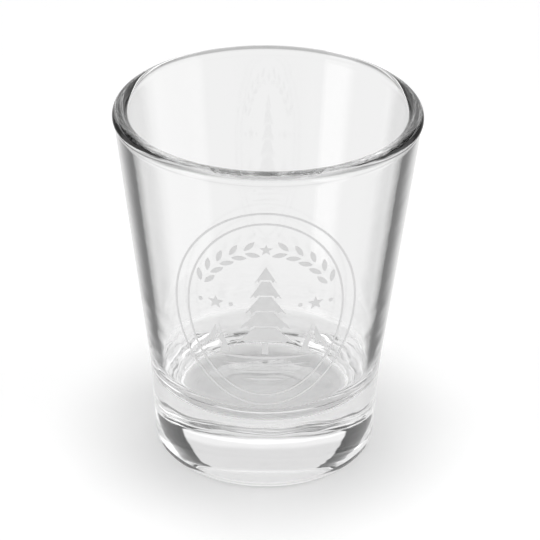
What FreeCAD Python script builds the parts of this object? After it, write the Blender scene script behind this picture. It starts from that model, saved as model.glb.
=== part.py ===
"""Shot glass with a frosted badge fired onto the front of its wall.

Frame: millimetres, +Z up, origin at the middle of the foot's resting plane, badge facing -Y.

The glass is one pressed, fire-polished piece: a tapered wall on a thick, nearly straight foot, with
a rounded bead round the mouth and a shallow hollow under the foot. The badge is a thin layer of
frosted enamel. Each of its marks is a separate patch of that layer, shaped like the artwork and
curved like the wall that carries it.
"""

import FreeCAD, Part
import math
import os

import Sketcher
from FreeCAD import Placement, Rotation, Vector

# alias: (value, note). Lengths in millimetres.
SIZES = {
    "height": (60.0, "foot plane to the top of the rim"),
    "mouth_diameter": (48.7, "outside of the wall's taper, carried up to the top of the rim"),
    "waist_diameter": (37.75, "outside, where the taper meets the foot block"),
    "foot_diameter": (35.9, "outside, carried down to the foot plane"),
    "waist_height": (15.0, "foot plane to the change of taper"),
    "waist_reach": (1.9, "how far up and down the wall the change of taper is blended"),
    "wall": (2.3, "wall thickness, measured level"),
    "floor_thickness": (11.6, "glass under the bowl"),
    "bowl_corner_radius": (6.2, "between the bowl's floor and its wall"),
    "bead_proud": (0.2, "how far the rounded rim stands out of the wall's outside"),
    "bead_blend": (2.0, "fillet between the rim and the wall's outside"),
    "heel_radius": (2.0, "outer edge of the foot"),
    "hollow_diameter": (26.0, "shallow hollow under the foot"),
    "hollow_depth": (0.8, "at its middle"),
    "hollow_edge": (0.6, "rounding of the hollow's edge"),
    "enamel": (0.05, "enamel thickness, measured level"),
    "badge_width": (28.0, "outer oval"),
    "badge_foot_gap": (2.0, "waist to the badge's lower edge"),
    "badge_rim_gap": (6.6, "badge's upper edge to the top of the rim"),
    "badge_line": (0.32, "width of the oval lines"),
    "badge_inset": (1.9, "outer oval to inner oval"),
}

# Half the width and height that the artwork's own coordinates are drawn for, inside the outer oval.
ART_HALF_WIDTH = 14.0
ART_HALF_HEIGHT = 18.2

# Artwork, in those coordinates: x to the right, y up, from the badge's middle.
GARLAND_RADIUS = 10.2
GARLAND_CENTRE = 1.2
GARLAND_START = 19.0
GARLAND_STEP = 13.4
GARLAND_PAIRS = 5
GARLAND_SPREAD = 27.0
LEAF_LENGTH = 2.35
LEAF_WIDTH = 0.82
LEAF_STALK = 0.28
CROWN_STAR_RADIUS = 1.05
SIDE_STAR_PLACE = (7.7, 0.9)
SIDE_STAR_RADIUS = 1.25
STAR_WAIST = 0.42
SIDE_DOT_PLACE = 2.35
SIDE_DOT_RADIUS = 0.34
TREE_TOP = 8.3
FIRST_TIER_HEIGHT = 3.1
TIER_DROP = 2.9
TIER_GAP = 0.34
TIERS = 5
FIRST_TIER_WIDTH = 1.75
TIER_GROWTH = 0.72
# Lower edge of a tier from its tip inward: (share of its half width, height above the tip).
BRANCH_EDGE = ((1.0, 0.0), (0.74, 0.55), (0.64, 0.15), (0.45, 0.7))
TRUNK_HALF_WIDTH = 0.5
TRUNK_FOOT = -8.2
GROUND = (9.2, -8.9, 0.5)
WAVES = ((7.2, -10.3, 0.42), (5.4, -11.7, 0.42), (3.3, -13.1, 0.42))
PEAK_APEX = (7.35, -2.7)
PEAK_FOOT = -8.2
PEAK_SHADE = ((5.35, -8.2), (7.05, -8.2), (6.6, -6.9), (7.35, -5.7), (6.75, -4.7))
PEAK_RIDGE = ((7.72, -3.35), (9.75, -8.2), (9.3, -8.2), (8.55, -6.5), (8.05, -6.9), (7.6, -5.0))


def size(alias):
    return SIZES[alias][0]


def make_sheet(doc):
    """The driving sizes, one row each: name, value, note."""
    sheet = doc.addObject("Spreadsheet::Sheet", "Sizes")
    for row, (alias, (value, note)) in enumerate(SIZES.items(), start=1):
        sheet.set(f"A{row}", alias)
        sheet.set(f"B{row}", str(value))
        sheet.set(f"C{row}", note)
        sheet.setAlias(f"B{row}", alias)
    doc.recompute()
    return sheet


def make_layout(doc):
    """Lengths worked out from the sheet that more than one object needs."""
    layout = doc.addObject("App::VarSet", "Layout")
    formulas = {
        "bead_radius": "(Sizes.wall + Sizes.bead_proud) / 2",
        "bead_height": "Sizes.height - Layout.bead_radius",
        "bead_centre": (
            "Sizes.waist_diameter / 2 + (Sizes.mouth_diameter - Sizes.waist_diameter) / 2"
            " * (Sizes.height - Layout.bead_radius - Sizes.waist_height)"
            " / (Sizes.height - Sizes.waist_height)"
            " + Sizes.bead_proud - Layout.bead_radius"
        ),
        "wall_top": "Layout.bead_centre + Layout.bead_radius - Sizes.bead_proud",
        "foot_slant": (
            "sqrt(Sizes.waist_height ^ 2 + (Sizes.waist_diameter - Sizes.foot_diameter) ^ 2 / 4)"
        ),
        "wall_slant": (
            "sqrt((Layout.bead_height - Sizes.waist_height) ^ 2"
            " + (Layout.wall_top - Sizes.waist_diameter / 2) ^ 2)"
        ),
        "badge_low": "Sizes.waist_height + Sizes.badge_foot_gap",
        "badge_high": "Sizes.height - Sizes.badge_rim_gap",
        "badge_centre": "(Layout.badge_low + Layout.badge_high) / 2",
        "half_width": "Sizes.badge_width / 2",
        "half_height": "(Layout.badge_high - Layout.badge_low) / 2",
        "art_scale": (
            f"min(Layout.half_width / {ART_HALF_WIDTH}; Layout.half_height / {ART_HALF_HEIGHT})"
        ),
    }
    for name, formula in formulas.items():
        layout.addProperty("App::PropertyFloat", name)
        layout.setExpression(name, formula)
    doc.recompute()
    return layout


# Sketch helpers


def pin(sketch, geo, pos, x, y):
    """Ties one point of a sketch to the origin by two dimensions, each a formula or a number."""
    for axis, kind, formula in (("x", "DistanceX", x), ("y", "DistanceY", y)):
        here = sketch.getPoint(geo, pos)
        at = sketch.addConstraint(Sketcher.Constraint(kind, -1, 1, geo, pos, getattr(here, axis)))
        sketch.setExpression(f"Constraints[{at}]", str(formula))


def end_near(sketch, geo, spot):
    """Which end of an arc or a line, 1 or 2, lies nearest a spot. Arcs always run one way round."""
    misses = [sketch.getPoint(geo, end).distanceToPoint(spot) for end in (1, 2)]
    return 1 if misses[0] < misses[1] else 2


def draw_polygon(sketch, points):
    """A closed polygon of the badge's artwork."""
    first = sketch.GeometryCount
    count = len(points)
    for i in range(count):
        ends = [Vector(*points[k % count], 0) for k in (i, i + 1)]
        sketch.addGeometry(Part.LineSegment(*ends), False)
    for i in range(count):
        after = first + (i + 1) % count
        sketch.addConstraint(Sketcher.Constraint("Coincident", first + i, 2, after, 1))
        pin(sketch, first + i, 1, *scaled(points[i]))


def value_of(doc, formula):
    """What a formula comes to now, so that a sketch starts where its dimensions put it."""
    found = doc.Sizes.evalExpression(str(formula))
    return float(getattr(found, "Value", found))


# The glass


def circle_at(shape, radius, height):
    """The name of the shape's round edge nearest that radius and height."""
    best, name = math.inf, None
    for i, edge in enumerate(shape.Edges, start=1):
        if edge.Degenerated or not isinstance(edge.Curve, Part.Circle):
            continue
        miss = math.hypot(edge.Curve.Radius - radius, edge.Curve.Center.z - height)
        if miss < best:
            best, name = miss, f"Edge{i}"
    return name


def round_edge(doc, body, base, name, spots, radius_formula):
    """A fillet on the round edges nearest the given (radius, height) spots."""
    fillet = body.newObject("PartDesign::Fillet", name)
    fillet.Base = (base, [circle_at(base.Shape, *spot) for spot in spots])
    fillet.setExpression("Radius", radius_formula)
    doc.recompute()
    return fillet


def part_way(start, end, share):
    """The formulas of a point that share of the way from one point to another."""
    return tuple(f"({a}) + (({b}) - ({a})) * {share}" for a, b in zip(start, end))


def blend_outside(low, high, bead, radius):
    """The blend between the wall's straight outside and the bead's circle.

    `low` and `high` are points on the wall. Gives where the blend leaves the wall, its centre, and
    where it meets the circle.
    """
    along = (high - low).normalize()
    start = low + Vector(along.y, -along.x, 0) * size("bead_blend")
    to_start = start - bead
    off = to_start - along * to_start.dot(along)
    reach = radius + size("bead_blend")
    travel = -to_start.dot(along) - math.sqrt(reach**2 - off.Length**2)
    centre = start + along * travel
    return low + along * travel, centre, bead + (centre - bead) * (radius / reach)


def touch_inside(low, bead, radius):
    """Where a straight wall that rises from `low` touches the bead's circle, on its bowl side."""
    to_bead = bead - low
    lean = math.degrees(math.asin(radius / to_bead.Length))
    along = Rotation(Vector(0, 0, 1), lean).multVec(to_bead).normalize()
    return low + along * math.sqrt(to_bead.Length**2 - radius**2)


def draw_rim(sketch, outer_wall, inner_wall, blend, touch, bead, radius):
    """The rim: a bead as thick as the wall, and the arc that blends it into the wall's outside.

    The walls are lines of the sketch that stop short at the rim. Everything is tangent where it
    meets, so the bead's centre and the two radii place it all.
    """
    on_wall, centre, on_bead = blend
    middle = centre + ((on_wall + on_bead) * 0.5 - centre).normalize() * size("bead_blend")
    fillet = sketch.addGeometry(Part.Arc(on_wall, middle, on_bead), False)
    crown = bead + Vector(0, radius, 0)
    ring = sketch.addGeometry(Part.Arc(on_bead, crown, touch), False)
    meetings = ((outer_wall, fillet, on_wall), (fillet, ring, on_bead), (ring, inner_wall, touch))
    for first, second, spot in meetings:
        ends = [(geo, end_near(sketch, geo, spot)) for geo in (first, second)]
        sketch.addConstraint(Sketcher.Constraint("Tangent", *ends[0], *ends[1]))
    for arc, value, formula in (
        (fillet, size("bead_blend"), "Sizes.bead_blend"),
        (ring, radius, "Layout.bead_radius"),
    ):
        held = sketch.addConstraint(Sketcher.Constraint("Radius", arc, value))
        sketch.setExpression(f"Constraints[{held}]", formula)
    pin(sketch, ring, 3, "Layout.bead_centre", "Layout.bead_height")


def draw_section(doc, sketch):
    """Half the glass's section, from the foot's middle round the rim to the bowl's middle."""
    foot = ("Sizes.foot_diameter / 2", "0")
    waist = ("Sizes.waist_diameter / 2", "Sizes.waist_height")
    wall_top = ("Layout.wall_top", "Layout.bead_height")
    bowl_foot = (
        "Sizes.foot_diameter / 2 + (Sizes.waist_diameter - Sizes.foot_diameter) / 2"
        " * Sizes.floor_thickness / Sizes.waist_height - Sizes.wall",
        "Sizes.floor_thickness",
    )
    below_waist = part_way(waist, foot, "Sizes.waist_reach / Layout.foot_slant")
    above_waist = part_way(waist, wall_top, "Sizes.waist_reach / Layout.wall_slant")
    corners = [("0", "0"), foot, below_waist, above_waist, wall_top]
    corners += [bowl_foot, ("0", "Sizes.floor_thickness")]
    spots = [Vector(*[value_of(doc, f) for f in corner], 0) for corner in corners]
    corner = Vector(*[value_of(doc, f) for f in waist], 0)
    bead = Vector(value_of(doc, "Layout.bead_centre"), value_of(doc, "Layout.bead_height"), 0)
    radius = value_of(doc, "Layout.bead_radius")
    blend = blend_outside(spots[3], spots[4], bead, radius)
    touch = touch_inside(spots[5], bead, radius)
    # A shallow arc runs halfway between its chord and the corner it rounds off.
    halfway = (spots[2] + spots[3] + corner * 2) * 0.25
    sides = [
        Part.LineSegment(spots[0], spots[1]),
        Part.LineSegment(spots[1], spots[2]),
        Part.Arc(spots[2], halfway, spots[3]),
        Part.LineSegment(spots[3], blend[0]),
        Part.LineSegment(touch, spots[5]),
        Part.LineSegment(spots[5], spots[6]),
        Part.LineSegment(spots[6], spots[0]),
    ]
    for side in sides:
        sketch.addGeometry(side, False)
    outer_wall, inner_wall = 3, 4
    # Side, the side after it, how they meet, and the number of the corner where they do.
    joins = ((0, 1, "Coincident", 1), (1, 2, "Tangent", 2), (2, 3, "Coincident", 3))
    joins += ((4, 5, "Coincident", 5), (5, 6, "Coincident", 6), (6, 0, "Coincident", 0))
    for before, after, kind, at in joins:
        meeting = [(geo, end_near(sketch, geo, spots[at])) for geo in (before, after)]
        sketch.addConstraint(Sketcher.Constraint(kind, *meeting[0], *meeting[1]))
        pin(sketch, *meeting[1 if kind == "Coincident" else 0], *corners[at])
    aim = sketch.addGeometry(Part.Point(spots[4]), True)
    pin(sketch, aim, 1, *wall_top)
    sketch.addConstraint(Sketcher.Constraint("PointOnObject", aim, 1, outer_wall))
    draw_rim(sketch, outer_wall, inner_wall, blend, touch, bead, radius)
    return spots[5]


def make_glass(doc):
    body = doc.addObject("PartDesign::Body", "glass")
    body.Label = "glass"

    section = body.newObject("Sketcher::SketchObject", "section")
    plane = next(f for f in body.Origin.OriginFeatures if f.Role == "XZ_Plane")
    section.AttachmentSupport = (plane, [""])
    section.MapMode = "FlatFace"
    bowl_foot = draw_section(doc, section)
    blank = body.newObject("PartDesign::Revolution", "blank")
    blank.Profile = section
    blank.ReferenceAxis = (section, ["V_Axis"])
    blank.Angle = 360.0
    doc.recompute()

    hollow = body.newObject("PartDesign::SubtractiveSphere", "foot_hollow")
    cap = "(Sizes.hollow_diameter ^ 2 / 4 + Sizes.hollow_depth ^ 2) / (2 * Sizes.hollow_depth)"
    hollow.setExpression("Radius", cap)
    hollow.setExpression("Placement.Base.z", f"Sizes.hollow_depth - {cap}")
    doc.recompute()

    corner = round_edge(
        doc,
        body,
        hollow,
        "bowl_corner",
        [(bowl_foot.x, bowl_foot.y)],
        "Sizes.bowl_corner_radius",
    )
    heel = round_edge(
        doc, body, corner, "heel", [(size("foot_diameter") / 2, 0)], "Sizes.heel_radius"
    )
    foot_ring = round_edge(
        doc, body, heel, "foot_ring", [(size("hollow_diameter") / 2, 0)], "Sizes.hollow_edge"
    )
    body.Tip = foot_ring
    steps = (blank, hollow, corner, heel, foot_ring)
    for before, after in zip(steps, steps[1:]):
        if math.isclose(before.Shape.Volume, after.Shape.Volume, rel_tol=1e-9):
            raise ValueError(f"{after.Name} changes nothing")
    return body


# The enamel badge


def make_enamel_skin(doc):
    """The whole wall's taper as a layer one enamel thick, which every mark is cut from."""
    cones = []
    for name, extra in (("skin_outside", "Sizes.enamel"), ("skin_inside", "0")):
        cone = doc.addObject("Part::Cone", name)
        cone.setExpression("Radius1", f"Sizes.waist_diameter / 2 + {extra}")
        cone.setExpression("Radius2", f"Sizes.mouth_diameter / 2 + {extra}")
        cone.setExpression("Height", "Sizes.height - Sizes.waist_height")
        cone.setExpression("Placement.Base.z", "Sizes.waist_height")
        cones.append(cone)
    skin = doc.addObject("Part::Cut", "enamel_skin")
    skin.Base, skin.Tool = cones
    doc.recompute()
    return skin


def fire_on(doc, skin, prism, label):
    """The part of the enamel layer that a prism of artwork covers, as one named sub-part."""
    mark = doc.addObject("Part::Common", label)
    mark.Label = label
    mark.Base = skin
    mark.Tool = prism
    return mark


def project_forward(doc, source, name):
    """Artwork on the plane through the axis, carried forward through the front of the wall."""
    prism = doc.addObject("Part::Extrusion", name)
    prism.Base = source
    prism.DirMode = "Custom"
    prism.Dir = Vector(0, -1, 0)
    prism.setExpression("LengthFwd", "Sizes.mouth_diameter")
    prism.Solid = True
    return prism


def make_oval(doc, skin, label, inset):
    """An oval line: the outer oval less a smaller one."""
    prisms = []
    for part, less in (("outer", inset), ("inner", f"{inset} + Sizes.badge_line")):
        oval = doc.addObject("Part::Ellipse", f"{label}_{part}_edge")
        oval.setExpression("MajorRadius", f"Layout.half_height - ({less})")
        oval.setExpression("MinorRadius", f"Layout.half_width - ({less})")
        upright = Rotation(Vector(0, 0, 1), Vector(1, 0, 0), Vector(0, 1, 0), "XYZ")
        oval.Placement = Placement(Vector(0, 0, 0), upright)
        oval.setExpression("Placement.Base.z", "Layout.badge_centre")
        prisms.append(project_forward(doc, oval, f"{label}_{part}_prism"))
    band = doc.addObject("Part::Cut", f"{label}_band")
    band.Base, band.Tool = prisms
    return fire_on(doc, skin, band, label)


def art_sketch(doc, name):
    """An upright sketch facing -Y, with its origin at the badge's middle."""
    sketch = doc.addObject("Sketcher::SketchObject", name)
    sketch.Placement = Placement(Vector(0, 0, 0), Rotation(Vector(1, 0, 0), 90))
    sketch.setExpression("Placement.Base.z", "Layout.badge_centre")
    return sketch


def scaled(point):
    return tuple(f"{round(c, 4)} * Layout.art_scale" for c in point)


def set_radius(sketch, geo, radius):
    held = sketch.addConstraint(Sketcher.Constraint("Radius", geo, radius))
    sketch.setExpression(f"Constraints[{held}]", f"{radius} * Layout.art_scale")


def draw_disc(sketch, centre, radius):
    geo = sketch.addGeometry(Part.Circle(Vector(*centre, 0), Vector(0, 0, 1), radius), False)
    pin(sketch, geo, 3, *scaled(centre))
    set_radius(sketch, geo, radius)


def draw_leaf(sketch, tail, tip, width):
    """A pointed leaf: two equal arcs from tail to tip."""
    along = Vector(tip[0] - tail[0], tip[1] - tail[1], 0)
    side = Vector(-along.y, along.x, 0).normalize() * (width / 2)
    middle = Vector(tail[0], tail[1], 0) + along * 0.5
    radius = (along.Length**2 / 4 + side.Length**2) / (2 * side.Length)
    first = sketch.GeometryCount
    for way in (1, -1):
        ends = [Vector(*tail, 0), Vector(*tip, 0)]
        arc = Part.Arc(ends[0], middle + side * way, ends[1])
        sketch.addGeometry(arc, False)
    for point in (tail, tip):
        meeting = [(geo, end_near(sketch, geo, Vector(*point, 0))) for geo in (first, first + 1)]
        sketch.addConstraint(Sketcher.Constraint("Coincident", *meeting[0], *meeting[1]))
        pin(sketch, *meeting[0], *scaled(point))
    for geo in (first, first + 1):
        set_radius(sketch, geo, radius)


def star_points(centre, radius):
    turns = [math.radians(90 + 36 * i) for i in range(10)]
    reaches = [radius if i % 2 == 0 else radius * STAR_WAIST for i in range(10)]
    return [(centre[0] + r * math.cos(a), centre[1] + r * math.sin(a)) for a, r in zip(turns, reaches)]


def on_garland(angle, lift=0.0):
    reach = GARLAND_RADIUS + lift
    turn = math.radians(angle)
    return reach * math.cos(turn), GARLAND_CENTRE + reach * math.sin(turn)


def draw_garland(sketch, side):
    """Pairs of leaves up one side of the arch, each pair opening towards the crown."""
    for pair in range(GARLAND_PAIRS):
        angle = 90 - side * (GARLAND_START + GARLAND_STEP * pair)
        for outward in (1, -1):
            tail = on_garland(angle, outward * LEAF_STALK)
            heading = math.radians(angle + side * (90 - outward * GARLAND_SPREAD))
            tip = (
                tail[0] + LEAF_LENGTH * math.cos(heading),
                tail[1] + LEAF_LENGTH * math.sin(heading),
            )
            draw_leaf(sketch, tail, tip, LEAF_WIDTH)


def mirrored(points):
    """A left half, from the middle outward and back, with its right half added."""
    return points + [(-x, y) for x, y in reversed(points) if x != 0]


def draw_tree(sketch):
    """Tiers of branches, each wider than the one above and clear of it, and a trunk."""
    neck, top = 0, TREE_TOP
    for tier in range(TIERS):
        width = FIRST_TIER_WIDTH + TIER_GROWTH * tier
        low = TREE_TOP - FIRST_TIER_HEIGHT - TIER_DROP * tier
        left = [(0, top), (-neck, top)] if neck else [(0, top)]
        left += [(-width * share, low + lift) for share, lift in BRANCH_EDGE]
        left.append((0, low + BRANCH_EDGE[-1][1]))
        draw_polygon(sketch, mirrored(left))
        neck = width * BRANCH_EDGE[-1][0] - TIER_GAP / 2
        top = low + BRANCH_EDGE[-1][1] - TIER_GAP
    half = TRUNK_HALF_WIDTH
    draw_polygon(sketch, [(-half, top), (-half, TRUNK_FOOT), (half, TRUNK_FOOT), (half, top)])


def draw_peak(sketch, side):
    for outline in ((PEAK_APEX, *PEAK_SHADE), PEAK_RIDGE):
        draw_polygon(sketch, [(side * x, y) for x, y in outline])


def draw_water(sketch):
    for half, level, thickness in (GROUND, *WAVES):
        draw_leaf(sketch, (-half, level), (half, level), thickness)


def draw_side_dots(sketch):
    x, y = SIDE_STAR_PLACE
    for side in (-1, 1):
        for way in (-1, 1):
            draw_disc(sketch, (side * x + way * SIDE_DOT_PLACE, y), SIDE_DOT_RADIUS)


def make_mark(doc, skin, label, draw):
    sketch = art_sketch(doc, f"{label}_art")
    draw(sketch)
    return fire_on(doc, skin, project_forward(doc, sketch, f"{label}_prism"), label)


def make_badge(doc):
    skin = make_enamel_skin(doc)
    crown = on_garland(90)
    star_x, star_y = SIDE_STAR_PLACE
    drawings = {
        "badge_left_garland": lambda s: draw_garland(s, -1),
        "badge_right_garland": lambda s: draw_garland(s, 1),
        "badge_crown_star": lambda s: draw_polygon(s, star_points(crown, CROWN_STAR_RADIUS)),
        "badge_left_star": lambda s: draw_polygon(s, star_points((-star_x, star_y), SIDE_STAR_RADIUS)),
        "badge_right_star": lambda s: draw_polygon(s, star_points((star_x, star_y), SIDE_STAR_RADIUS)),
        "badge_side_dots": draw_side_dots,
        "badge_pine_tree": draw_tree,
        "badge_left_peak": lambda s: draw_peak(s, -1),
        "badge_right_peak": lambda s: draw_peak(s, 1),
        "badge_lake": draw_water,
    }
    marks = [
        make_oval(doc, skin, "badge_outer_oval", "0"),
        make_oval(doc, skin, "badge_inner_oval", "Sizes.badge_inset"),
    ]
    marks += [make_mark(doc, skin, label, draw) for label, draw in drawings.items()]
    doc.recompute()
    return marks


def check(doc, parts):
    """Stops before anything is written if an object failed or a sub-part isn't sound."""
    failed = [o.Name for o in doc.Objects if {"Invalid", "Error"} & set(o.State)]
    if failed:
        raise ValueError(f"these objects failed: {failed}")
    for part in parts:
        shape = part.Shape
        if shape.isNull() or not shape.isValid() or not shape.Solids:
            raise ValueError(f"{part.Label} is not a sound solid")
        print(f"{part.Label}: {len(shape.Solids)} solid(s), {shape.Volume:.4f} mm3")


def main():
    doc = FreeCAD.newDocument("shot_glass")
    make_sheet(doc)
    make_layout(doc)
    parts = [make_glass(doc), *make_badge(doc)]
    doc.recompute()
    check(doc, parts)
    os.makedirs("parts", exist_ok=True)
    for part in parts:
        part.Shape.exportStep(f"parts/{part.Label}.step")


main()
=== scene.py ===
"""Looks of the shot glass: clear pressed glass, a frosted enamel badge, pale floor and studio light.

The scene is in metres. Lengths written here are in millimetres and are scaled by MM once.
"""

import math

import bmesh
import bpy
import numpy as np
from mathutils import Matrix, Vector


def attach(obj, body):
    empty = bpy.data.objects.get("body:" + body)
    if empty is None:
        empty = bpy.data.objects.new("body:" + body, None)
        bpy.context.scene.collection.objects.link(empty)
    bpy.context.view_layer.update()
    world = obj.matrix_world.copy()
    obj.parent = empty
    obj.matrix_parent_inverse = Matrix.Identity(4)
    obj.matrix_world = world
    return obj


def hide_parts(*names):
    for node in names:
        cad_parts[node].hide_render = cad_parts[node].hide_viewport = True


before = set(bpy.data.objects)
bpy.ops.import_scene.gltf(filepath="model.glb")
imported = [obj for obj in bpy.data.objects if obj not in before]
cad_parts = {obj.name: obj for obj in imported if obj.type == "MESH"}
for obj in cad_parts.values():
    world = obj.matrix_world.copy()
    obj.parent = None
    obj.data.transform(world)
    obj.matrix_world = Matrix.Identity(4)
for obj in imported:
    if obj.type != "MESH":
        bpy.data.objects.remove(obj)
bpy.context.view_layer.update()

MM = 0.001
FULL_TURN = 2 * math.pi

# The glass
HEIGHT = 60.0
MOUTH_RADIUS = 48.7 / 2
WAIST_RADIUS = 37.75 / 2
FOOT_RADIUS = 35.9 / 2
WAIST_HEIGHT = 15.0
WAIST_REACH = 1.9
WALL = 2.3
FLOOR_THICKNESS = 11.6
BOWL_CORNER = 6.2
BEAD_PROUD = 0.2
BEAD_RADIUS = (WALL + BEAD_PROUD) / 2
BEAD_BLEND = 2.0
HEEL = 2.0
HOLLOW_RADIUS = 13.0
HOLLOW_DEPTH = 0.8
HOLLOW_EDGE = 0.6

# How finely the glass is turned: steps round it, and points on each stretch of its section
ROUND_STEPS = 384
POINTS = {
    "bowl floor": 10,
    "bowl corner": 20,
    "bowl wall": 40,
    "rim bead": 38,
    "bead blend": 8,
    "outer wall": 36,
    "waist": 9,
    "foot wall": 10,
    "heel": 14,
    "foot ring": 4,
    "hollow edge": 4,
    "hollow": 14,
}

# The finish of the glass. Mould waves are strongest round the bottom of the bowl: each pair is a
# height up the glass, and the share of the waves from there on.
GLASS_IOR = 1.52
HANDLING_ROUGHNESS = (0.0, 0.03)
WAVES_ACROSS = 130.0
WAVES_STRETCH = (1.0, 1.0, 1.9)
WAVE_HEIGHT = 0.13
WAVES_IN_FOOT = ((9.0, 0.4), (14.0, 1.0))
WAVES_UP_WALL = ((14.0, 1.0), (34.0, 0.12))

# The finish of the enamel
ENAMEL_TONE = (0.66, 0.78)
ENAMEL_ROUGHNESS = (0.55, 0.8)
ENAMEL_SHINE = 0.3
ENAMEL_GRAIN_HEIGHT = 0.02

# The floor: white paper, as an open sheet and as a patch under the glass that fades past the foot
PAPER_TONE = (0.885, 0.915)
PAPER_ROUGHNESS = 0.9
PAPER_GLOW = 0.25
PAPER_FIBRE_HEIGHT = 0.02
PATCH_FADE = (22.0, 40.0)
FLOOR_RADIUS = 1500.0
FLOOR_GAP = 0.02
FLOOR_STEPS = 96

# The soft box high above the glass
OVERHEAD_SIZE = 110.0
OVERHEAD_POWER = 0.42
OVERHEAD_HEIGHT = 420.0

# Light of the studio, by direction, in degrees. Bearings run from straight behind the glass, to
# the right positive; lifts run from level, up positive. Each card is painted over those before it:
# name, sides ("both" mirrors it), bearing edges, lift edges, light. A card fades in between its
# first two edges and out between its last two.
WALL_LIGHT = 0.88
ALL_ROUND = (-1.0, 0.0, 180.0, 181.0)
CARDS = (
    ("table_front_edge", "both", ALL_ROUND, (-91.0, -90.0, -50.0, -41.0), 0.5),
    ("far_wall", "both", (-1.0, 0.0, 60.0, 80.0), (-17.0, -10.0, 8.0, 13.0), 0.76),
    ("back_box", "both", (-1.0, 0.0, 50.0, 60.0), (13.0, 16.0, 18.0, 22.0), 1.15),
    ("upper_back", "both", (-1.0, 0.0, 80.0, 100.0), (25.0, 30.0, 58.0, 60.0), 0.72),
    ("ceiling_gap", "both", ALL_ROUND, (60.0, 63.0, 70.0, 74.0), 0.06),
    ("flag", "both", (7.0, 40.0, 50.0, 60.0), (-62.0, -50.0, 10.0, 16.0), 0.2),
    ("flag_top", "both", (34.0, 36.0, 66.0, 70.0), (17.0, 20.0, 55.0, 60.0), 0.03),
    ("strip_box", "left", (104.0, 114.0, 132.0, 134.0), (-35.0, -30.0, 10.0, 20.0), 1.95),
    ("fill_box", "right", (62.0, 72.0, 122.0, 126.0), (-35.0, -30.0, 25.0, 35.0), 1.42),
)

# The camera looks at the middle of the glass, then is slid a little to the right and up
SENSOR_WIDTH = 36.0
LENS = 173.127
CAMERA_DISTANCE = 420.0
CAMERA_ELEVATION = 28.75
CAMERA_ROLL = 0.72
CAMERA_RIGHT = 0.61
CAMERA_UP = 0.67
CAMERA_NEAR = 10.0


# Section of the glass


def unit(v):
    return v / np.hypot(*v)


def bearing(v):
    """The angle of a direction in the section."""
    return math.atan2(v[1], v[0])


def arc_points(centre, radius, start, end, count):
    """Points on a circle from one angle to another, both included."""
    turns = np.linspace(start, end, count)
    return [centre + radius * np.array((math.cos(a), math.sin(a))) for a in turns]


def shorter_arc(centre, radius, start, end, count):
    """Points on a circle from one place to another, the shorter way round."""
    first = bearing(start - centre)
    sweep = (bearing(end - centre) - first + math.pi) % FULL_TURN - math.pi
    return arc_points(centre, radius, first, first + sweep, count)


def rounded_corner(before, corner, after, radius, count):
    """A corner rounded by an arc that is tangent to both its sides."""
    to_before, to_after = unit(before - corner), unit(after - corner)
    half = math.acos(float(np.clip(to_before @ to_after, -1, 1))) / 2
    centre = corner + unit(to_before + to_after) * radius / math.sin(half)
    back = radius / math.tan(half)
    return shorter_arc(centre, radius, corner + to_before * back, corner + to_after * back, count)


def straight(start, end, count):
    """Points strictly between two ends."""
    return [start + (end - start) * k / (count + 1) for k in range(1, count + 1)]


def blend_outside(low, high, bead):
    """The arc between the outer wall and the bead: its centre, and where it meets each."""
    along = unit(high - low)
    across = np.array((along[1], -along[0]))
    start = low + across * BEAD_BLEND
    reach = BEAD_RADIUS + BEAD_BLEND
    back, off = (start - bead) @ along, (start - bead) @ across
    centre = start - along * (back + math.sqrt(reach**2 - off**2))
    return centre, centre - across * BEAD_BLEND, bead + (centre - bead) * BEAD_RADIUS / reach


def touch_inside(low, bead):
    """Where a straight wall that rises from `low` touches the bead, on its bowl side."""
    to_bead = bead - low
    reach = np.hypot(*to_bead)
    turn = bearing(to_bead) + math.asin(BEAD_RADIUS / reach)
    return low + np.array((math.cos(turn), math.sin(turn))) * math.sqrt(reach**2 - BEAD_RADIUS**2)


def bowl_side(bowl_foot, touch):
    """From the bowl's middle, round its bottom corner and up the wall to the bead."""
    middle = np.array((0.0, FLOOR_THICKNESS))
    corner = rounded_corner(middle, bowl_foot, touch, BOWL_CORNER, POINTS["bowl corner"])
    return [
        middle,
        *straight(middle, corner[0], POINTS["bowl floor"]),
        *corner,
        *straight(corner[-1], touch, POINTS["bowl wall"]),
    ]


def rim_and_wall(touch, bead, wall_top, waist, above_waist):
    """Over the bead and down the outer wall, as far as the bend at the waist."""
    blend_centre, outer_wall, outer_bead = blend_outside(waist, wall_top, bead)
    turn_in = bearing(touch - bead) % FULL_TURN
    turn_out = bearing(outer_bead - bead)
    blend = shorter_arc(blend_centre, BEAD_BLEND, outer_bead, outer_wall, POINTS["bead blend"])
    return [
        *arc_points(bead, BEAD_RADIUS, turn_in, turn_out, POINTS["rim bead"]),
        *blend[1:],
        *straight(outer_wall, above_waist, POINTS["outer wall"]),
    ]


def waist_bend(above, waist, below):
    """The soft bend at the waist, drawn towards its corner."""
    shares = np.linspace(0, 1, POINTS["waist"])
    return [above * (1 - s) ** 2 + waist * 2 * s * (1 - s) + below * s**2 for s in shares]


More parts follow.
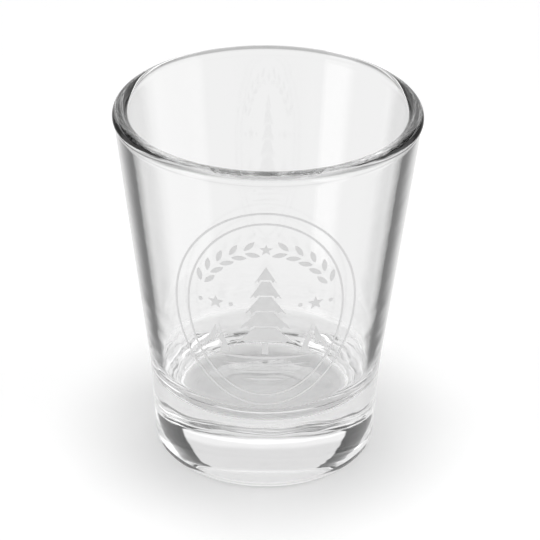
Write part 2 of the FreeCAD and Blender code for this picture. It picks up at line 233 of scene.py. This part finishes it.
def foot_side(waist, below_waist, foot):
    """Down to the heel, along the ring that the glass stands on, and up into the hollow."""
    ring = np.array((HOLLOW_RADIUS, 0.0))
    cap = (HOLLOW_RADIUS**2 + HOLLOW_DEPTH**2) / (2 * HOLLOW_DEPTH)
    cap_centre = np.array((0.0, HOLLOW_DEPTH - cap))
    slope = math.asin(HOLLOW_RADIUS / cap)
    inward = np.array((-math.cos(slope), math.sin(slope)))
    heel = rounded_corner(waist, foot, ring, HEEL, POINTS["heel"])
    edge = rounded_corner(heel[-1], ring, ring + inward, HOLLOW_EDGE, POINTS["hollow edge"])
    rim_angle = math.pi / 2 - math.asin(edge[-1][0] / cap)
    return [
        *straight(below_waist, heel[0], POINTS["foot wall"]),
        *heel,
        *straight(heel[-1], edge[0], POINTS["foot ring"]),
        *edge,
        *arc_points(cap_centre, cap, rim_angle, math.pi / 2, POINTS["hollow"])[1:],
    ]


def glass_section():
    """Half of the section, from the bowl's middle over the rim and under the foot to the hollow."""
    waist = np.array((WAIST_RADIUS, WAIST_HEIGHT))
    foot = np.array((FOOT_RADIUS, 0.0))
    bead_height = HEIGHT - BEAD_RADIUS
    rise = (bead_height - WAIST_HEIGHT) / (HEIGHT - WAIST_HEIGHT)
    wall_top = np.array((WAIST_RADIUS + (MOUTH_RADIUS - WAIST_RADIUS) * rise, bead_height))
    bead = np.array((wall_top[0] + BEAD_PROUD - BEAD_RADIUS, bead_height))
    floor_rise = FLOOR_THICKNESS / WAIST_HEIGHT
    outside_at_floor = FOOT_RADIUS + (WAIST_RADIUS - FOOT_RADIUS) * floor_rise
    bowl_foot = np.array((outside_at_floor - WALL, FLOOR_THICKNESS))
    touch = touch_inside(bowl_foot, bead)
    above = waist + unit(wall_top - waist) * WAIST_REACH
    below = waist + unit(foot - waist) * WAIST_REACH
    return [
        *bowl_side(bowl_foot, touch),
        *rim_and_wall(touch, bead, wall_top, waist, above),
        *waist_bend(above, waist, below),
        *foot_side(waist, below, foot),
    ]


# Turning the glass and cutting the floor


def ring_of(mesh, radius, height, steps):
    """Corners evenly round the middle, or the one corner in the middle."""
    if radius < 1e-6:
        return [mesh.verts.new((0, 0, height * MM))]
    turns = [FULL_TURN * k / steps for k in range(steps)]
    return [
        mesh.verts.new((radius * MM * math.cos(a), radius * MM * math.sin(a), height * MM))
        for a in turns
    ]


def band_between(mesh, first, second):
    """Faces between two rings, either of which may be the one corner in the middle."""
    steps = max(len(first), len(second))
    for k in range(steps):
        n = (k + 1) % steps
        if len(first) == 1:
            mesh.faces.new((first[0], second[n], second[k]))
        elif len(second) == 1:
            mesh.faces.new((first[k], first[n], second[0]))
        else:
            mesh.faces.new((first[k], first[n], second[n], second[k]))


def into_scene(mesh, name, material):
    """A finished mesh as an object of one material."""
    data = bpy.data.meshes.new(name)
    mesh.to_mesh(data)
    mesh.free()
    data.materials.append(material)
    piece = bpy.data.objects.new(name, data)
    bpy.context.collection.objects.link(piece)
    return piece


def turn_glass(material):
    """The glass as one closed, smooth body of revolution."""
    mesh = bmesh.new()
    rings = [ring_of(mesh, radius, height, ROUND_STEPS) for radius, height in glass_section()]
    for first, second in zip(rings, rings[1:]):
        band_between(mesh, first, second)
    bmesh.ops.recalc_face_normals(mesh, faces=mesh.faces)
    for face in mesh.faces:
        face.smooth = True
    return into_scene(mesh, "pressed_glass", material)


def lay_paper(name, inner, outer, depth, material):
    """A flat ring or disc of paper, just under the foot."""
    mesh = bmesh.new()
    edge = ring_of(mesh, outer, -depth, FLOOR_STEPS)
    if inner > 0:
        band_between(mesh, edge, ring_of(mesh, inner, -depth, FLOOR_STEPS))
    else:
        mesh.faces.new(edge)
    paper = into_scene(mesh, name, material)
    return paper


# Finishes


def new_material(name):
    material = bpy.data.materials.new(name)
    material.use_nodes = True
    tree = material.node_tree
    return material, tree, tree.nodes["Principled BSDF"]


def fine_grain_group():
    """Fine grain broken up by slower patches, both even over the surface, from 0 to 1."""
    group = bpy.data.node_groups.new("fine_grain", "ShaderNodeTree")
    nodes, links = group.nodes, group.links
    for label, value in (("Grain Scale", 9000.0), ("Patch Scale", 300.0), ("Patch Share", 0.3)):
        socket = group.interface.new_socket(label, in_out="INPUT", socket_type="NodeSocketFloat")
        socket.default_value = value
    for label in ("Grain", "Patches"):
        group.interface.new_socket(label, in_out="OUTPUT", socket_type="NodeSocketFloat")
    source = nodes.new("NodeGroupInput")
    result = nodes.new("NodeGroupOutput")
    place = nodes.new("ShaderNodeTexCoord").outputs["Object"]
    layers = []
    for label, detail in (("Grain Scale", 3.0), ("Patch Scale", 2.0)):
        noise = nodes.new("ShaderNodeTexNoise")
        noise.label = label
        noise.inputs["Detail"].default_value = detail
        links.new(place, noise.inputs["Vector"])
        links.new(source.outputs[label], noise.inputs["Scale"])
        layers.append(noise.outputs["Fac"])
    grain, patches = layers
    mix = nodes.new("ShaderNodeMix")
    links.new(source.outputs["Patch Share"], mix.inputs["Factor"])
    links.new(grain, mix.inputs["A"])
    links.new(patches, mix.inputs["B"])
    links.new(mix.outputs[0], result.inputs["Grain"])
    links.new(patches, result.inputs["Patches"])
    return group


def place_grain(tree, group, grain_scale, patch_scale, patch_share):
    """The fine grain in a material, with the material's own sizes."""
    node = tree.nodes.new("ShaderNodeGroup")
    node.node_tree = group
    node.label = group.name
    node.inputs["Grain Scale"].default_value = grain_scale
    node.inputs["Patch Scale"].default_value = patch_scale
    node.inputs["Patch Share"].default_value = patch_share
    return node.outputs["Grain"], node.outputs["Patches"]


def map_range(tree, value, from_ends, to_ends, label):
    """A value stretched from one range over another, and held at its ends."""
    node = tree.nodes.new("ShaderNodeMapRange")
    node.label = label
    node.inputs["From Min"].default_value, node.inputs["From Max"].default_value = from_ends
    node.inputs["To Min"].default_value, node.inputs["To Max"].default_value = to_ends
    tree.links.new(value, node.inputs["Value"])
    return node


def spread_over(tree, grain, ends, label, from_ends=(0.3, 0.7)):
    """Grain spread between two values."""
    return map_range(tree, grain, from_ends, ends, label).outputs[0]


def along_height(tree, height, start, end, label):
    """A share that changes between two heights up the glass."""
    heights = (start[0] * MM, end[0] * MM)
    return map_range(tree, height, heights, (start[1], end[1]), label).outputs[0]


def neutral_grey(tree, value, label):
    """A value as a colour without a tint."""
    node = tree.nodes.new("ShaderNodeCombineColor")
    node.label = label
    for name in ("Red", "Green", "Blue"):
        tree.links.new(value, node.inputs[name])
    return node.outputs[0]


def raise_surface(tree, shader, relief, strength, height, label):
    """Fine relief on the surface, of a height in millimetres."""
    bump = tree.nodes.new("ShaderNodeBump")
    bump.label = label
    bump.inputs["Strength"].default_value = strength
    bump.inputs["Distance"].default_value = height * MM
    tree.links.new(relief, bump.inputs["Height"])
    tree.links.new(bump.outputs[0], shader.inputs["Normal"])


def mould_waves(tree):
    """Slow waves that the mould leaves, strongest round the bottom of the bowl."""
    nodes, links = tree.nodes, tree.links
    place = nodes.new("ShaderNodeTexCoord").outputs["Object"]
    stretch = nodes.new("ShaderNodeMapping")
    stretch.label = "waves drawn out round the glass"
    stretch.inputs["Scale"].default_value = WAVES_STRETCH
    links.new(place, stretch.inputs["Vector"])
    waves = nodes.new("ShaderNodeTexNoise")
    waves.label = "mould waves"
    waves.inputs["Scale"].default_value = WAVES_ACROSS
    waves.inputs["Detail"].default_value = 1.0
    links.new(stretch.outputs[0], waves.inputs["Vector"])
    split = nodes.new("ShaderNodeSeparateXYZ")
    links.new(place, split.inputs[0])
    up = split.outputs["Z"]
    relief = waves.outputs["Fac"]
    fades = ((WAVES_UP_WALL, "fading up the wall"), (WAVES_IN_FOOT, "calmer in the foot"))
    for ends, label in fades:
        times = nodes.new("ShaderNodeMath")
        times.operation = "MULTIPLY"
        links.new(relief, times.inputs[0])
        links.new(along_height(tree, up, *ends, label), times.inputs[1])
        relief = times.outputs[0]
    return relief


def glass_material(group):
    """Clear pressed glass: waves from the mould, and a trace of handling."""
    material, tree, shader = new_material("clear_glass")
    shader.inputs["Base Color"].default_value = (1, 1, 1, 1)
    shader.inputs["IOR"].default_value = GLASS_IOR
    shader.inputs["Transmission Weight"].default_value = 1.0
    handling, _ = place_grain(tree, group, grain_scale=2500.0, patch_scale=90.0, patch_share=0.8)
    smudge = spread_over(tree, handling, HANDLING_ROUGHNESS, "handling", from_ends=(0.5, 0.72))
    tree.links.new(smudge, shader.inputs["Roughness"])
    raise_surface(tree, shader, mould_waves(tree), 1.0, WAVE_HEIGHT, "pressed surface")
    return material


def enamel_material(group):
    """Fired frost enamel: pale, matt and speckled."""
    material, tree, shader = new_material("frost_enamel")
    speckle, patches = place_grain(
        tree, group, grain_scale=14000.0, patch_scale=700.0, patch_share=0.35
    )
    tone = spread_over(tree, speckle, ENAMEL_TONE, "speckled frost")
    tree.links.new(neutral_grey(tree, tone, "frost"), shader.inputs["Base Color"])
    matt = spread_over(tree, patches, ENAMEL_ROUGHNESS, "matt patches")
    tree.links.new(matt, shader.inputs["Roughness"])
    shader.inputs["Specular IOR Level"].default_value = ENAMEL_SHINE
    raise_surface(tree, shader, speckle, 0.35, ENAMEL_GRAIN_HEIGHT, "fired grain")
    return material


def paper_material(group, name):
    """White paper with fine fibres, and a little glow for the light it passes on."""
    material, tree, shader = new_material(name)
    fibres, _ = place_grain(tree, group, grain_scale=2200.0, patch_scale=60.0, patch_share=0.4)
    tone = spread_over(tree, fibres, PAPER_TONE, "paper")
    tree.links.new(neutral_grey(tree, tone, "paper white"), shader.inputs["Base Color"])
    shader.inputs["Roughness"].default_value = PAPER_ROUGHNESS
    shader.inputs["Specular IOR Level"].default_value = 0.0
    shader.inputs["Emission Color"].default_value = (1, 1, 1, 1)
    shader.inputs["Emission Strength"].default_value = PAPER_GLOW
    raise_surface(tree, shader, fibres, 0.2, PAPER_FIBRE_HEIGHT, "paper fibres")
    return material


def fade_past_foot(material):
    """Makes a paper thin out to nothing past the foot of the glass."""
    tree = material.node_tree
    distance = tree.nodes.new("ShaderNodeVectorMath")
    distance.operation = "LENGTH"
    place = tree.nodes.new("ShaderNodeTexCoord").outputs["Object"]
    tree.links.new(place, distance.inputs[0])
    ends = [radius * MM for radius in PATCH_FADE]
    fade = map_range(tree, distance.outputs["Value"], ends, (1.0, 0.0), "fade past the foot")
    tree.links.new(fade.outputs[0], tree.nodes["Principled BSDF"].inputs["Alpha"])


# Floor, light and camera


def make_floor(group):
    """Two sheets of one paper: the open floor, and the patch that shows through the glass.

    What the glass bends towards the distance is the studio, not more floor, so only the patch
    shows through it, and the patch fades away past the foot.
    """
    fade_start, fade_end = PATCH_FADE
    open_paper = paper_material(group, "floor_paper")
    open_floor = lay_paper("open_floor", fade_start, FLOOR_RADIUS, FLOOR_GAP, open_paper)
    for rays in ("diffuse", "glossy", "transmission", "shadow"):
        setattr(open_floor, f"visible_{rays}", False)

    patch_paper = paper_material(group, "patch_paper")
    fade_past_foot(patch_paper)
    lay_paper("floor_patch", 0.0, fade_end, 2 * FLOOR_GAP, patch_paper)


def make_overhead_box():
    """A soft box high above, which lights the floor and shades it softly round the foot."""
    data = bpy.data.lights.new("overhead_box", "AREA")
    data.shape = "DISK"
    data.size = OVERHEAD_SIZE * MM
    data.energy = OVERHEAD_POWER
    lamp = bpy.data.objects.new("overhead_box", data)
    lamp.location = (0, 0, OVERHEAD_HEIGHT * MM)
    lamp.visible_camera = False
    lamp.visible_glossy = False
    lamp.visible_transmission = False
    bpy.context.collection.objects.link(lamp)


def math_node(tree, operation, first, second=None):
    """One step of arithmetic on sockets or plain numbers."""
    node = tree.nodes.new("ShaderNodeMath")
    node.operation = operation
    for socket, value in zip(node.inputs, (first, second)):
        if isinstance(value, (int, float)):
            socket.default_value = value
        elif value is not None:
            tree.links.new(value, socket)
    return node.outputs[0]


def card_mask(tree, value, edges, name):
    """A mask that rises softly between the first two edges and falls between the last two."""
    rise = map_range(tree, value, edges[:2], (0.0, 1.0), f"{name} rise")
    fall = map_range(tree, value, edges[2:], (1.0, 0.0), f"{name} fall")
    rise.interpolation_type = fall.interpolation_type = "SMOOTHSTEP"
    return math_node(tree, "MULTIPLY", rise.outputs[0], fall.outputs[0])


def paint_card(tree, light, mask, level, name):
    """The light so far, with one card painted over it."""
    card = tree.nodes.new("ShaderNodeMix")
    card.label = name
    if isinstance(light, float):
        card.inputs["A"].default_value = light
    else:
        tree.links.new(light, card.inputs["A"])
    card.inputs["B"].default_value = level
    tree.links.new(mask, card.inputs["Factor"])
    return card.outputs[0]


def make_studio():
    """The walls and cards all round, as light by direction."""
    world = bpy.data.worlds.new("studio")
    bpy.context.scene.world = world
    world.use_nodes = True
    tree = world.node_tree
    tree.nodes.clear()
    split = tree.nodes.new("ShaderNodeSeparateXYZ")
    direction = tree.nodes.new("ShaderNodeTexCoord").outputs["Generated"]
    tree.links.new(direction, split.inputs[0])
    turn = math_node(tree, "ARCTAN2", split.outputs["X"], split.outputs["Y"])
    right = math_node(tree, "DEGREES", turn)
    bearings = {
        "right": right,
        "left": math_node(tree, "MULTIPLY", right, -1.0),
        "both": math_node(tree, "ABSOLUTE", right),
    }
    lift = math_node(tree, "DEGREES", math_node(tree, "ARCSINE", split.outputs["Z"]))
    light = WALL_LIGHT
    for name, side, across, up, level in CARDS:
        across_mask = card_mask(tree, bearings[side], across, f"{name} across")
        up_mask = card_mask(tree, lift, up, f"{name} up")
        mask = math_node(tree, "MULTIPLY", across_mask, up_mask)
        light = paint_card(tree, light, mask, level, name)
    background = tree.nodes.new("ShaderNodeBackground")
    background.inputs["Color"].default_value = (1, 1, 1, 1)
    tree.links.new(light, background.inputs["Strength"])
    out = tree.nodes.new("ShaderNodeOutputWorld")
    tree.links.new(background.outputs[0], out.inputs["Surface"])


def make_camera():
    """A long lens, looking down at the front of the glass."""
    lift = math.radians(CAMERA_ELEVATION)
    roll = math.radians(CAMERA_ROLL)
    back = Vector((0, -math.cos(lift), math.sin(lift)))
    right = Vector((1, 0, 0))
    up = Vector((0, math.sin(lift), math.cos(lift)))
    x_axis = right * math.cos(roll) + up * math.sin(roll)
    y_axis = up * math.cos(roll) - right * math.sin(roll)
    middle = Vector((0, 0, HEIGHT / 2))
    place = middle + back * CAMERA_DISTANCE + right * CAMERA_RIGHT + up * CAMERA_UP
    turn = Matrix((x_axis, y_axis, back)).transposed().to_4x4()
    data = bpy.data.cameras.new("camera")
    data.sensor_width = SENSOR_WIDTH
    data.lens = LENS
    data.clip_start = CAMERA_NEAR * MM
    camera = bpy.data.objects.new("camera", data)
    camera.matrix_world = Matrix.Translation(place * MM) @ turn
    bpy.context.collection.objects.link(camera)
    bpy.context.scene.camera = camera


fine_grain = fine_grain_group()
glass = turn_glass(glass_material(fine_grain))
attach(glass, "root")
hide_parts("glass")

enamel = enamel_material(fine_grain)
for name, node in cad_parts.items():
    if name != "glass":
        node.data.materials.clear()
        node.data.materials.append(enamel)

make_floor(fine_grain)
make_overhead_box()
make_studio()
make_camera()

scene = bpy.context.scene
scene.view_settings.view_transform = "Standard"
scene.cycles.max_bounces = 32
scene.cycles.transmission_bounces = 32
scene.cycles.glossy_bounces = 24
scene.cycles.transparent_max_bounces = 24
